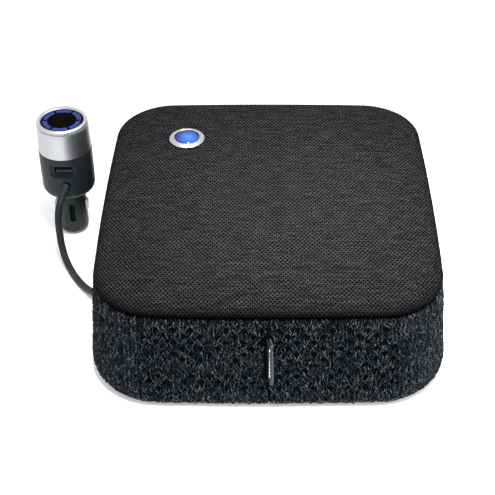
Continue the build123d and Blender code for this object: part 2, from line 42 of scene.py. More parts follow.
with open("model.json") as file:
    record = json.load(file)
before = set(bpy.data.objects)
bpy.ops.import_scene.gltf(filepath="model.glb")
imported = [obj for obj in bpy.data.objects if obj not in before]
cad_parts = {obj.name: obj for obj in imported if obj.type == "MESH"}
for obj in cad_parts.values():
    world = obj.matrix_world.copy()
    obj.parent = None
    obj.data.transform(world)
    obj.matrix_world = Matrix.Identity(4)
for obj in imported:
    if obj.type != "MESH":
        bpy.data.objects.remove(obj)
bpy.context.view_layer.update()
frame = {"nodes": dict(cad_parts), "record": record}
NODES = frame["nodes"]
MM = 0.001

# ---------------------------------------------------------------- places taken from the frame
COVER_LOW, COVER_HIGH = (np.array(c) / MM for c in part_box("top_cover"))
BEZEL_LOW, BEZEL_HIGH = (np.array(c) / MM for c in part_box("button_bezel"))
LABEL_LOW, LABEL_HIGH = (np.array(c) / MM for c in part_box("front_label"))
BUTTON = (BEZEL_LOW + BEZEL_HIGH) / 2
BEZEL_R = (BEZEL_HIGH[0] - BEZEL_LOW[0]) / 2

# ---------------------------------------------------------------- the pod's outline, in millimetres
SIDE_BOW = 2.6  # how far the middle of each side stands out from its ends
CORNER_R = 39.0
COVER_OVERHANG = 0.2
SEAM_HALF = (COVER_HIGH[:2] - COVER_LOW[:2]) / 2 - COVER_OVERHANG


def circle_meet(c1, r1, c2, r2):
    """The crossing of two circles that lies furthest out in +X and +Y."""
    gap = c2 - c1
    dist = np.linalg.norm(gap)
    along = (r1**2 - r2**2 + dist**2) / (2 * dist)
    off = math.sqrt(max(r1**2 - along**2, 0))
    mid = c1 + gap * along / dist
    side = np.array([-gap[1], gap[0]]) / dist
    return max((mid + side * off, mid - side * off), key=lambda p: p.sum())


def outline_quarter(count):
    """Points and outward normals from the middle of the +Y side to the middle of the +X side."""
    half_x, half_y = SEAM_HALF
    edge_x, edge_y = half_x - SIDE_BOW, half_y - SIDE_BOW
    r_top = (edge_x**2 + SIDE_BOW**2) / (2 * SIDE_BOW)
    r_side = (edge_y**2 + SIDE_BOW**2) / (2 * SIDE_BOW)
    c_top = np.array([0, half_y - r_top])
    c_side = np.array([half_x - r_side, 0])
    c_corner = circle_meet(c_top, r_top - CORNER_R, c_side, r_side - CORNER_R)
    to_top = math.atan2(*(c_corner - c_top)[::-1])
    to_side = math.atan2(*(c_corner - c_side)[::-1])
    arcs = (
        (c_top, r_top, math.pi / 2, to_top),
        (c_corner, CORNER_R, to_top, to_side),
        (c_side, r_side, to_side, 0.0),
    )
    points, normals = [], []
    for centre, radius, start, end in arcs:
        for angle in np.linspace(start, end, count, endpoint=False):
            normal = np.array([math.cos(angle), math.sin(angle)])
            points.append(centre + radius * normal)
            normals.append(normal)
    points.append(np.array([half_x, 0.0]))
    normals.append(np.array([1.0, 0.0]))
    return np.array(points), np.array(normals)


def outline_loop(count):
    """Evenly spaced points round the seam outline, clockwise from the middle of the front, with their
    outward normals and the length of the outline."""
    p, n = outline_quarter(160)
    left = np.array([-1.0, 1.0])
    front = np.array([1.0, -1.0])
    ring_p, ring_n = (np.concatenate([-a, (a * left)[::-1], a, (a * front)[::-1]]) for a in (p, n))
    step = np.linalg.norm(np.diff(ring_p, axis=0), axis=1)
    fresh = np.concatenate([[True], step > 1e-6])
    ring_p, ring_n = ring_p[fresh], ring_n[fresh]
    run = np.concatenate([[0], np.cumsum(np.linalg.norm(np.diff(ring_p, axis=0), axis=1))])
    at = np.linspace(0, run[-1], count, endpoint=False)
    pts = np.stack([np.interp(at, run, ring_p[:, k]) for k in (0, 1)], axis=1)
    nrm = np.stack([np.interp(at, run, ring_n[:, k]) for k in (0, 1)], axis=1)
    nrm /= np.linalg.norm(nrm, axis=1, keepdims=True)
    return pts, nrm, run[-1]


# (growth outside the seam outline, height), in millimetres. The band runs up from its tucked foot and
# rolls in at the seam, and the top's cover comes out of the same groove and rolls over.
BAND_PROFILE = np.array((
    (-1.0, 0.6), (1.4, 1.2), (3.2, 3.0), (4.9, 5.6), (5.6, 8.3), (5.7, 12.0), (5.3, 16.0),
    (4.0, 27.6), (3.1, 40.0), (2.2, 52.0), (1.3, 60.5), (0.6, 65.0), (-0.6, 66.6), (-4.0, 67.0),
))
DOME_PROFILE = np.array((
    (-4.0, 68.6), (-1.5, 68.7), (-0.3, 69.1), (0.2, 69.9), (0.25, 70.8), (-0.2, 71.9), (-1.1, 73.0),
    (-2.5, 74.0), (-4.3, 74.85), (-6.6, 75.65), (-9.6, 76.4), (-13.5, 77.15), (-18.5, 77.95),
    (-25.0, 78.75), (-33.0, 79.35),
))

# ---------------------------------------------------------------- stage, lights and camera
# The camera stands in front of the pod and looks down 38 degrees at it.
CAMERA_AT = (0.0, -0.636, 0.534)
CAMERA_TILT = math.radians(52.0)
CAMERA_LENS = 87.85
CAMERA_SHIFT = (-0.0417, -0.0152)

# The key light is soft and stands at the right, and the overhead one is brightest on the top cover.
KEY_AT, KEY_AIM = (0.66, -0.46, 0.60), (0.03, -0.02, 0.05)
KEY_SIZE, KEY_POWER = 1.0, 4.8
OVERHEAD_AT, OVERHEAD_AIM = (0.06, -0.16, 0.70), (0.028, -0.025, 0.08)
OVERHEAD_SPREAD, OVERHEAD_RADIUS, OVERHEAD_POWER = math.radians(32), 0.14, 90.0
SKY_COLOR, SKY_STRENGTH = (0.95, 0.97, 1.0, 1), 1.08


def link(name, data):
    """A new object in the scene that holds `data`."""
    made = bpy.data.objects.new(name, data)
    bpy.context.collection.objects.link(made)
    return made


def add_camera():
    data = bpy.data.cameras.new("camera")
    data.lens = CAMERA_LENS
    data.shift_x, data.shift_y = CAMERA_SHIFT
    camera = link("camera", data)
    camera.location = CAMERA_AT
    camera.rotation_euler = (CAMERA_TILT, 0, 0)
    bpy.context.scene.camera = camera


def add_lamp(name, data, place, aim, power):
    data.energy = power
    lamp = link(name, data)
    lamp.location = place
    lamp.rotation_euler = (Vector(aim) - Vector(place)).to_track_quat("-Z", "Y").to_euler()


def add_area_light(name, place, aim, size, power):
    data = bpy.data.lights.new(name, "AREA")
    data.shape = "RECTANGLE"
    data.size = data.size_y = size
    add_lamp(name, data, place, aim, power)


def add_spot(name, place, aim, spread, radius, power):
    """Soft-edged spot, brightest in the middle of what it is aimed at."""
    data = bpy.data.lights.new(name, "SPOT")
    data.spot_size = spread
    data.spot_blend = 1.0
    data.shadow_soft_size = radius
    add_lamp(name, data, place, aim, power)


def add_sky():
    world = bpy.data.worlds.new("studio")
    world.use_nodes = True
    color, strength = world.node_tree.nodes["Background"].inputs[:2]
    color.default_value = SKY_COLOR
    strength.default_value = SKY_STRENGTH
    bpy.context.scene.world = world


add_camera()
add_area_light("key", KEY_AT, KEY_AIM, KEY_SIZE, KEY_POWER)
add_spot("overhead", OVERHEAD_AT, OVERHEAD_AIM, OVERHEAD_SPREAD, OVERHEAD_RADIUS, OVERHEAD_POWER)
add_sky()
bpy.context.scene.view_settings.view_transform = "Standard"


# ---------------------------------------------------------------- material helpers
class Paint:
    """A material and short ways to add nodes to it. Textures follow the object's own metres."""

    def __init__(self, name, color, roughness, metallic=0.0, **sockets):
        self.mat = bpy.data.materials.new(name)
        self.mat.use_nodes = True
        self.tree = self.mat.node_tree
        self.bsdf = self.tree.nodes["Principled BSDF"]
        self.set("Base Color", (*color, 1))
        self.set("Roughness", roughness)
        self.set("Metallic", metallic)
        for socket, value in sockets.items():
            self.set(socket.replace("_", " "), value)
        self.mat.diffuse_color = (*color, 1)
        self.where = self.node("ShaderNodeTexCoord").outputs["Object"]

    def set(self, socket, value):
        self.bsdf.inputs[socket].default_value = value

    def node(self, kind, **props):
        made = self.tree.nodes.new(kind)
        for key, value in props.items():
            setattr(made, key, value)
        return made

    def join(self, source, target):
        self.tree.links.new(source, target)

    def put(self, target, value):
        if hasattr(value, "is_output"):
            self.join(value, target)
        else:
            target.default_value = value

    def math(self, operation, a, b=0.0):
        made = self.node("ShaderNodeMath", operation=operation)
        for socket, value in zip(made.inputs, (a, b)):
            self.put(socket, value)
        return made.outputs[0]

    def split(self):
        made = self.node("ShaderNodeSeparateXYZ")
        self.join(self.where, made.inputs[0])
        return made.outputs

    def stretch(self, scale):
        """The place with its axes scaled, for noise that is finer one way than another."""
        made = self.node("ShaderNodeMapping")
        self.join(self.where, made.inputs["Vector"])
        made.inputs["Scale"].default_value = scale
        return made.outputs[0]

    def noise(self, scale, detail=2.0, rough=0.5, vector=None):
        made = self.node("ShaderNodeTexNoise")
        self.join(vector or self.where, made.inputs["Vector"])
        made.inputs["Scale"].default_value = scale
        made.inputs["Detail"].default_value = detail
        made.inputs["Roughness"].default_value = rough
        return made.outputs["Fac"]

    def ramp(self, fac, *stops):
        """Colour ramp from (place, colour or grey) stops."""
        made = self.node("ShaderNodeValToRGB")
        self.join(fac, made.inputs[0])
        line = made.color_ramp.elements
        while len(line) < len(stops):
            line.new(0.5)
        for element, (place, tint) in zip(line, stops):
            element.position = place
            grey = isinstance(tint, (int, float))
            element.color = (tint, tint, tint, 1) if grey else (*tint, 1)
        return made.outputs[0]

    def mix(self, fac, a, b):
        """Colour `a` where `fac` is 0 and `b` where it is 1."""
        made = self.node("ShaderNodeMix", data_type="RGBA")
        self.put(made.inputs[0], fac)
        for socket, value in ((made.inputs[6], a), (made.inputs[7], b)):
            self.put(socket, value if hasattr(value, "is_output") else (*value, 1))
        return made.outputs[2]

    def bump(self, height, distance, strength=1.0):
        made = self.node("ShaderNodeBump")
        made.inputs["Distance"].default_value = distance
        made.inputs["Strength"].default_value = strength
        self.join(height, made.inputs["Height"])
        return made.outputs[0]

    def use(self, **sockets):
        """Links or sets the shader's sockets and returns the material."""
        for socket, value in sockets.items():
            self.put(self.bsdf.inputs[socket.replace("_", " ")], value)
        return self.mat


# ---------------------------------------------------------------- materials
def moulded(name, color, roughness, grain=0.00004, wear=0.12, **sockets):
    """Moulded plastic or rubber: fine spark grain, faint mottling and uneven gloss."""
    p = Paint(name, color, roughness, **sockets)
    cloud = p.noise(55, 3)
    light = tuple(min(c * (1 + wear) + 0.03 * wear, 1) for c in color)
    dark = tuple(c * (1 - wear) for c in color)
    grainy = p.noise(5200, 2, 0.6)
    return p.use(
        Base_Color=p.ramp(cloud, (0.3, dark), (0.7, light)),
        Roughness=p.ramp(p.noise(90, 4), (0.3, roughness - 0.05), (0.7, roughness + 0.06)),
        Normal=p.bump(grainy, grain, 0.6),
    )


def metal(name, color, roughness, lines=0.0, **sockets):
    """Metal, with turned lines round the vertical where `lines` is more than 0."""
    p = Paint(name, color, roughness, 1.0, **sockets)
    smear = p.noise(70, 4, 0.6)
    if lines:
        streak = p.noise(1.0, 3, 0.7, p.stretch((30, 30, 6500)))
        p.use(Normal=p.bump(streak, lines, 0.5))
    return p.use(Roughness=p.ramp(smear, (0.3, max(roughness - 0.03, 0.02)), (0.75, roughness + 0.05)))


# The weave's repeats, and the heights between which painted shade fades from the dark rim to the top.
WEAVE_ACROSS = 0.0026
WEAVE_ALONG = 0.0037
RIM_SHADE_FULL_BELOW, RIM_SHADE_NONE_ABOVE = 0.070, 0.0755
# The second colour here is the painted shade that the strands turn to on the rim.
WEAVE_BLACK, RIM_PAINTED_SHADE = (0.0006, 0.0006, 0.0008), (0.0015, 0.0013, 0.0013)
STRAND_TINTS = (
    (0.40, (0.002, 0.002, 0.0024)), (0.5, (0.0068, 0.0068, 0.0076)), (0.60, (0.068, 0.067, 0.070)),
)


def woven_top():
    """Charcoal weave: pale strands cross on both diagonals round dark diamond pinholes, and painted
    shade darkens it down the rim.
    """
    p = Paint("woven_charcoal", (0.02, 0.02, 0.022), 0.95, Specular_IOR_Level=0.02)
    x, y, z = p.split()
    drift = p.math("MULTIPLY", p.math("SUBTRACT", p.noise(70, 2), 0.5), 0.0012)
    slub = p.math("MULTIPLY", p.math("SUBTRACT", p.noise(520, 2), 0.5), 0.0006)
    over_rim = p.math("ADD", y, z)
    across = p.math("DIVIDE", p.math("ADD", p.math("ADD", x, drift), slub), WEAVE_ACROSS)
    along = p.math("DIVIDE", p.math("SUBTRACT", over_rim, drift), WEAVE_ALONG)
    strands = []
    for turn in ("ADD", "SUBTRACT"):
        wave = p.math("SINE", p.math("MULTIPLY", p.math(turn, across, along), math.pi))
        strands.append(p.math("ABSOLUTE", wave))
    lattice = p.math("MAXIMUM", *strands)
    fibre = p.noise(3600, 3, 0.75)
    cloud = p.noise(1.0, 4, 0.65, p.stretch((90, 700, 700)))
    tone = p.math("ADD", p.math("MULTIPLY", cloud, 0.22), p.math("MULTIPLY", fibre, 0.78))
    strand = p.ramp(tone, *STRAND_TINTS)
    # Painted shade: below these heights the strands turn near black, standing in for the shade where
    # the top rolls into the seam.
    decimetres = p.math("MULTIPLY", z, 10)
    out_of_rim_shade = p.ramp(decimetres, (10 * RIM_SHADE_FULL_BELOW, 0.0), (10 * RIM_SHADE_NONE_ABOVE, 1.0))
    on_strand = p.ramp(lattice, (0.70, 0.0), (0.93, 1.0))
    color = p.mix(on_strand, WEAVE_BLACK, p.mix(out_of_rim_shade, RIM_PAINTED_SHADE, strand))
    height = p.math("ADD", lattice, p.math("MULTIPLY", fibre, 0.4))
    return p.use(Base_Color=color, Normal=p.bump(height, 0.0007, 1.0))


YARN_TINTS = ((0.009, 0.0115, 0.0145), (0.024, 0.029, 0.035), (0.15, 0.168, 0.19))


def knit_yarn(name, shade):
    """Blue-charcoal melange yarn with pale flecks; `shade` scales how pale it is."""
    p = Paint(name, (0.03, 0.036, 0.044), 0.95, Specular_IOR_Level=0.04)
    fleck = p.noise(1300, 4, 0.8)
    cloud = p.noise(110, 3)
    fibre = p.noise(1.0, 3, 0.7, p.stretch((5200, 5200, 2200)))
    dim, full, bright = (tuple(c * shade for c in tint) for tint in YARN_TINTS)
    body = p.ramp(cloud, (0.35, dim), (0.65, full))
    pale = p.ramp(fleck, (0.53, 0.0), (0.66, 1.0))
    return p.use(Base_Color=p.mix(pale, body, bright), Normal=p.bump(fibre, 0.00035, 1.0))


def backing_cloth():
    """The knit's black ground, seen through the eyelets and between the stitches."""
    p = Paint("knit_ground", (0.002, 0.0023, 0.0028), 0.95, Specular_IOR_Level=0.02)
    web = p.noise(900, 3, 0.7)
    return p.use(
        Base_Color=p.ramp(web, (0.4, (0.001, 0.0012, 0.0014)), (0.7, (0.004, 0.0046, 0.0056))),
        Normal=p.bump(web, 0.0004, 0.8),
    )


RIBBON_RIB = 0.0006


def ribbon_cloth():
    """Grey ribbed ribbon."""
    p = Paint("grey_ribbon", (0.2, 0.2, 0.21), 0.8, Specular_IOR_Level=0.2, Sheen_Weight=0.05)
    z = p.split()[2]
    rib = p.math("SINE", p.math("MULTIPLY", z, 2 * math.pi / RIBBON_RIB))
    tone = p.noise(1600, 3, 0.7)
    return p.use(
        Base_Color=p.ramp(tone, (0.35, (0.03, 0.033, 0.035)), (0.65, (0.07, 0.074, 0.077))),
        Normal=p.bump(p.math("ADD", rib, tone), 0.0001, 0.8),
    )


def lit_blue(name, inner, outer, strength, centre=None, radius=0.008):
    """Translucent blue light guide, brighter towards `centre` and darker at its rim."""
    p = Paint(name, outer, 0.15, Specular_IOR_Level=0.15)
    mottled = p.noise(240, 2)
    if centre is None:
        glow = p.mix(mottled, inner, outer)
    else:
        x, y, z = p.split()
        dx = p.math("SUBTRACT", x, centre[0])
        dy = p.math("SUBTRACT", y, centre[1])
        away = p.math("SQRT", p.math("ADD", p.math("MULTIPLY", dx, dx), p.math("MULTIPLY", dy, dy)))
        share = p.math("ADD", p.math("DIVIDE", away, radius), p.math("MULTIPLY", mottled, 0.1))
        between = tuple((a + b) / 2 for a, b in zip(inner, outer))
        glow = p.ramp(share, (0.05, inner), (0.55, between), (0.95, outer))
    p.set("Emission Strength", strength)
    return p.use(Base_Color=glow, Emission_Color=glow)


def circuit():
    """Green solder mask with paler traces."""
    p = Paint("circuit_board", (0.02, 0.12, 0.07), 0.4)
    trace = p.noise(1.0, 1, 0.5, p.stretch((700, 260, 500)))
    return p.use(
        Base_Color=p.ramp(trace, (0.47, (0.012, 0.09, 0.05)), (0.53, (0.05, 0.2, 0.11))),
        Normal=p.bump(trace, 0.00003, 0.5),
    )


def foam():
    """Open-cell foam."""
    p = Paint("foam", (0.05, 0.05, 0.055), 0.95)
    cells = p.node("ShaderNodeTexVoronoi")
    p.join(p.where, cells.inputs["Vector"])
    cells.inputs["Scale"].default_value = 700
    pore = cells.outputs["Distance"]
    return p.use(Base_Color=p.ramp(pore, (0.1, 0.012), (0.6, 0.07)), Normal=p.bump(pore, 0.0006, 0.9))


SLATE = (0.011, 0.0145, 0.016)
GLOSS_INK = (0.0005, 0.0005, 0.0006)
MATERIALS = {
    "silicone": moulded("silicone", (0.03, 0.03, 0.032), 0.75, 0.00008),
    "black_plastic": moulded("black_plastic", (0.012, 0.013, 0.014), 0.5, Specular_IOR_Level=0.3),
    "slate_plastic": moulded("slate_plastic", SLATE, 0.42, 0.00003, Specular_IOR_Level=0.2),
    "gloss_black": moulded("gloss_black", GLOSS_INK, 0.14, 0.000002, 0.0, Specular_IOR_Level=0.01),
    "soft_rubber": moulded("soft_rubber", (0.012, 0.012, 0.013), 0.7, 0.00006, Specular_IOR_Level=0.3),
    "cord_rubber": moulded("cord_rubber", (0.011, 0.014, 0.0152), 0.55, Specular_IOR_Level=0.15),
    "cone_paper": moulded("cone_paper", (0.03, 0.03, 0.032), 0.85, 0.0002),
    "chip": moulded("chip", (0.02, 0.02, 0.021), 0.55, 0.00006),
    "led_white": moulded("led_white", (0.75, 0.76, 0.72), 0.35, 0.00002, 0.05),
    "dark_lens": moulded("dark_lens", GLOSS_INK, 0.3, 0.000002, 0.0, Specular_IOR_Level=0.04),
    "chrome": metal("chrome", (0.48, 0.485, 0.495), 0.34),
    "satin_aluminium": metal("satin_aluminium", (0.56, 0.565, 0.575), 0.40, 0.00002, Anisotropic=0.6),
    "nickel": metal("nickel", (0.30, 0.295, 0.28), 0.3),
    "black_steel": metal("black_steel", (0.035, 0.035, 0.037), 0.35),
    "steel": metal("steel", (0.50, 0.50, 0.51), 0.32),
    "ferrite": metal("ferrite", (0.10, 0.10, 0.11), 0.5),
    "circuit_board": circuit(),
    "foam": foam(),
    "woven_fabric": woven_top(),
    "knit_fabric": backing_cloth(),
    "ribbon": ribbon_cloth(),
    "blue_light": lit_blue("light_arcs_blue", (0.012, 0.032, 0.165), (0.008, 0.020, 0.11), 0.05),
}
YARNS = [knit_yarn("yarn_dark", 0.45), knit_yarn("yarn_mid", 0.85), knit_yarn("yarn_pale", 1.9)]
YARN_SHARES = (0.44, 0.30, 0.26)
THREAD = moulded("white_thread", (0.62, 0.63, 0.64), 0.7, 0.00003, Specular_IOR_Level=0.2)

# The button's lens glows from a spot just in front of its middle and to the right.
GLOW_AT = (BUTTON[0] * MM + 0.001, BUTTON[1] * MM - 0.002)
LENS_BLUE = lit_blue("button_blue", (0.036, 0.12, 0.44), (0.008, 0.018, 0.12), 0.045, GLOW_AT, 0.0086)

for part in frame["record"]["subparts"]:
    shown = NODES[part["node"]]
    shown.data.materials.clear()
    shown.data.materials.append(MATERIALS[part["material_slot"]])
NODES["button_lens"].data.materials[0] = LENS_BLUE


# ---------------------------------------------------------------- floor
FLOOR_REACH = 3.0
FLOOR_GLOW = 0.14


def add_floor():
    """White sweep that glows a little, so that it stays white where the lights fall off."""
    mesh = bpy.data.meshes.new("floor")
    corners = [(x * FLOOR_REACH, y * FLOOR_REACH, 0) for x, y in ((-1, -1), (1, -1), (1, 1), (-1, 1))]
    mesh.from_pydata(corners, [], [(0, 1, 2, 3)])
    floor = link("floor", mesh)
    p = Paint("floor_white", (0.9, 0.9, 0.9), 0.8)
    p.set("Emission Strength", FLOOR_GLOW)
    cloud = p.noise(3, 2)
    floor.data.materials.append(p.use(Base_Color=p.ramp(cloud, (0.2, 0.90), (0.8, 0.93))))


add_floor()

# ---------------------------------------------------------------- springs and loudspeaker suspension
# Heights of the flexing part of each suspension ring.
SURROUND_FLEX = (0.0588, 0.06005)
SPIDER_FLEX = (0.0408, 0.0425)


def bending_copy(node, slot, low_body, high_body, low, high):
    """The node's own mesh, copied in its place; `low_body`, `high_body`, `low` and `high` are not used.
    """
    mesh = NODES[node].data.copy()
    mesh.transform(NODES[node].matrix_world)
    piece = link(node + "_flexed", mesh)
    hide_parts(node)
    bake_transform(piece)
    return piece


def height_range(node):
    low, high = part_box(node)
    return low[2], high[2]


bending_copy("button_spring", "steel", "pod", "power_button", *height_range("button_spring"))
TIP_COIL = bending_copy("tip_spring", "steel", "tip", "pod", *height_range("tip_spring"))
bending_copy("driver_surround", "soft_rubber", "speaker_cone", "pod", *SURROUND_FLEX)
bending_copy("driver_spider", "ribbon", "pod", "speaker_cone", *SPIDER_FLEX)

# ---------------------------------------------------------------- lead
LEAD_DIAMETER = 0.005
LEAD_ROUTE = (
    (-0.1142, -0.0208, 0.0079),
    (-0.1188, -0.0160, 0.0052),
    (-0.1234, -0.0102, 0.0033),
    (-0.1284, -0.0033, 0.0025),
    (-0.1334, 0.0045, 0.0025),
    (-0.1376, 0.0126, 0.0027),
    (-0.1409, 0.0188, 0.0049),
    (-0.1432, 0.0240, 0.0091),
    (-0.1446, 0.0274, 0.0150),
    (-0.1450, 0.0289, 0.0270),
    (-0.1446, 0.0302, 0.0358),
    (-0.1436, 0.0336, 0.0416),
    (-0.1421, 0.0386, 0.0444),
)


def add_lead():
    data = bpy.data.curves.new("lead", "CURVE")
    data.dimensions = "3D"
    spline = data.splines.new("NURBS")
    spline.points.add(len(LEAD_ROUTE) - 1)
    for point, place in zip(spline.points, LEAD_ROUTE):
        point.co = (*place, 1)
    spline.order_u = 3
    spline.use_endpoint_u = True
    spline.resolution_u = 12
    data.bevel_depth = LEAD_DIAMETER / 2
    data.bevel_resolution = 6
    data.use_fill_caps = True
    lead = link("lead", data)
    data.materials.append(MATERIALS["cord_rubber"])
    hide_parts("power_lead")
    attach(lead, "pod")


add_lead()


# ---------------------------------------------------------------- mesh helpers
def mesh_piece(name, points, faces, material):
    """A smooth piece from points in millimetres."""
    mesh = bpy.data.meshes.new(name)
    mesh.from_pydata((np.asarray(points) * MM).tolist(), [], faces)
    mesh.validate()
    mesh.polygons.foreach_set("use_smooth", [True] * len(mesh.polygons))
    mesh.materials.append(material)
    return link(name, mesh)


def quad_piece(name, points, quads, material):
    """A smooth piece from arrays of points in millimetres and of quads."""
    mesh = bpy.data.meshes.new(name)
    mesh.vertices.add(len(points))
    mesh.vertices.foreach_set("co", (points * MM).ravel())
    mesh.loops.add(quads.size)
    mesh.loops.foreach_set("vertex_index", quads.ravel())
    mesh.polygons.add(len(quads))
    mesh.polygons.foreach_set("loop_start", np.arange(0, quads.size, 4))
    mesh.polygons.foreach_set("use_smooth", np.ones(len(quads), bool))
    mesh.update(calc_edges=True)
    mesh.materials.append(material)
    return link(name, mesh)


RING_ANGLES = (np.arange(4) + 0.5) * math.pi / 2


def tube_quads(tubes, steps):
    """Quads of many separate tubes of `steps` four-sided rings, with their ends closed."""
    index = np.arange(tubes * steps * 4).reshape(tubes, steps, 4)
    low, high = index[:, :-1], index[:, 1:]
    walls = np.stack([low, np.roll(low, -1, 2), np.roll(high, -1, 2), high], -1).reshape(-1, 4)
    return np.concatenate([walls, index[:, 0, ::-1], index[:, -1]])


def apply_modifiers(piece):
    """Gives the piece the mesh that its modifiers make."""
    shape = piece.evaluated_get(bpy.context.evaluated_depsgraph_get())
    mesh = bpy.data.meshes.new_from_object(shape)
    old = piece.data
    piece.modifiers.clear()
    piece.data = mesh
    bpy.data.meshes.remove(old)


def ring_faces(rings, count):
    """Quads between successive closed rings of `count` points each."""
    faces = []
    for ring in range(rings - 1):
        for k in range(count):
            after = (k + 1) % count
            low, high = ring * count, (ring + 1) * count
            faces.append((low + k, low + after, high + after, high + k))
    return faces


# ---------------------------------------------------------------- top cushion
COVER_COUNT = 320
COVER_T = 1.1
COVER_TOP = 80.0
COVER_FALL = 0.3  # how far the nearly flat top falls from its middle to the profile's last ring
TOP_SHARES = (0.9, 0.78, 0.64, 0.5, 0.36, 0.22, 0.1)
DIMPLE_DEPTH, DIMPLE_WIDTH = 0.45, 5.0
HOLE_MARGIN = 1.1


def dome_rings(shrink, drop):
    """Rings from the seam to near the middle of the domed top."""
    p, n, _ = outline_loop(COVER_COUNT)
    rings = []
    for grow, height in DOME_PROFILE:
        edge = p + n * (grow - shrink)
        rings.append(np.column_stack([edge, np.full(COVER_COUNT, height - drop)]))
    inner = rings[-1][:, :2]
    for share in TOP_SHARES:
        height = COVER_TOP - COVER_FALL * share**2 - drop
        rings.append(np.column_stack([inner * share, np.full(COVER_COUNT, height)]))
    return rings


def add_top():
    """The domed cover, pressed down round the button's bezel and cut to let it through."""
    outer, inner = dome_rings(0.0, 0.0), dome_rings(COVER_T, COVER_T)
    points = np.concatenate(outer + inner + [[[0, 0, COVER_TOP]], [[0, 0, COVER_TOP - COVER_T]]])
    rings = len(outer)
    half = rings * COVER_COUNT
    faces = ring_faces(rings, COVER_COUNT)
    faces += [tuple(reversed([k + half for k in face])) for face in faces]
    top_mid, low_mid = 2 * half, 2 * half + 1
    for k in range(COVER_COUNT):
        after = (k + 1) % COVER_COUNT
        last = (rings - 1) * COVER_COUNT
        faces.append((last + k, last + after, top_mid))
        faces.append((half + last + after, half + last + k, low_mid))
        faces.append((k, half + k, half + after, after))
    away = np.linalg.norm(points[:, :2] - BUTTON[:2], axis=1)
    pressed = np.exp(-(((away - BEZEL_R + 1) / DIMPLE_WIDTH) ** 2)) * (points[:, 2] > 75)
    points[:, 2] -= DIMPLE_DEPTH * pressed
    top = mesh_piece("top_cushion", points, faces, MATERIALS["woven_fabric"])
    cut_hole(top, BUTTON[:2], BEZEL_R - HOLE_MARGIN)
    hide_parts("top_cover")
    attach(top, "pod")


def cut_hole(piece, centre, radius):
    """Cuts a round upright hole through a closed piece."""
    tool_mesh = bpy.data.meshes.new("hole_tool")
    shape = bmesh.new()
    bmesh.ops.create_cone(
        shape, cap_ends=True, segments=96, radius1=radius * MM, radius2=radius * MM, depth=0.03,
        matrix=Matrix.Translation((centre[0] * MM, centre[1] * MM, 0.08)),
    )
    shape.to_mesh(tool_mesh)
    shape.free()
    tool = link("hole_tool", tool_mesh)
    cut = piece.modifiers.new("hole", "BOOLEAN")
    cut.operation = "DIFFERENCE"
    cut.solver = "EXACT"
    cut.object = tool
    apply_modifiers(piece)
    bpy.data.objects.remove(tool)
    bpy.data.meshes.remove(tool_mesh)


add_top()


# ---------------------------------------------------------------- knitted side band
BAND_COLUMNS = 312
BAND_ROWS = 32
STRAND_R = 0.36
GROUND_INSET, GROUND_INNER = 1.35, 4.0
LIP = 3.5  # the top of the band's profile, rolled into the seam groove, that carries no stitches
ROW_MARGIN = 0.8
FOOT_CLEAR = 0.6
FLOOR_CLEAR = 0.15


class BandSurface:
    """The band's outer surface set in by `inset`, and points on or above it."""

    def __init__(self, inset):
        self.p, self.n, self.round = outline_loop(1800)
        profile = BAND_PROFILE
        steps = np.linalg.norm(np.diff(profile, axis=0), axis=1)
        self.run = np.concatenate([[0], np.cumsum(steps)])
        self.height = self.run[-1]
        self.grow = profile[:, 0] - inset
        self.z = profile[:, 1]

    def level(self, rise):
        """Growth outside the seam outline and height, for a distance up the profile."""
        return np.interp(rise, self.run, self.grow), np.interp(rise, self.run, self.z)

    def at(self, turn, rise, lift):
        """Points for arrays of turn (0..1 round), rise (mm up the profile) and lift (mm outwards)."""
        turn, rise, lift = np.broadcast_arrays(turn, rise, lift)
        spot = (turn % 1.0) * len(self.p)
        low = np.floor(spot).astype(int) % len(self.p)
        high = (low + 1) % len(self.p)
        share = (spot - np.floor(spot))[..., None]
        p = self.p[low] * (1 - share) + self.p[high] * share
        n = self.n[low] * (1 - share) + self.n[high] * share
        grow, z = self.level(rise)
        grow_ahead, z_ahead = self.level(np.minimum(rise + 0.5, self.height))
        grow_behind, z_behind = self.level(np.maximum(rise - 0.5, 0))
        dg, dz = grow_ahead - grow_behind, z_ahead - z_behind
        size = np.hypot(dg, dz)
        out, up = dz / size, -dg / size
        xy = p + n * (grow + lift * out)[..., None]
        return np.concatenate([xy, (z + lift * up)[..., None]], axis=-1)


def add_band_ground():
    """The closed soft band under the stitches."""
    count = 480
    outer, inner = BandSurface(GROUND_INSET), BandSurface(GROUND_INNER)
    turns = np.arange(count) / count
    rises = np.linspace(0, outer.height, 40)
    rings = [outer.at(turns, rise, 0.0) for rise in rises]
    rings += [inner.at(turns, rise, 0.0) for rise in rises[::-1]]
    total = len(rings)
    faces = ring_faces(total, count)
    for k in range(count):
        after = (k + 1) % count
        last = (total - 1) * count
        faces.append((last + k, last + after, after, k))
    ground = mesh_piece("band_ground", np.concatenate(rings), faces, MATERIALS["knit_fabric"])
    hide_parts("side_band")
    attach(ground, "pod")


# The lace: its lowest and highest course, the plain strip half way up, half its width in millimetres on
# the front and on the sides, and the share of eyelets that are knitted shut.
LACE_LOW, LACE_HIGH = 4, 14
PLAIN_COURSES = (7, 8)
FRONT_LACE, SIDE_LACE = 75.0, 62.0
CLOSED_SHARE = 0.2

# How far the stitches round an eyelet stand away from it: those beside it and beside it one row off, in
# columns, and those above and below it, in rows.
LEAN_BESIDE, LEAN_OFF_ROW = 0.21, 0.12
HEAVE_ABOVE, HEAVE_BELOW = 0.23, 0.15

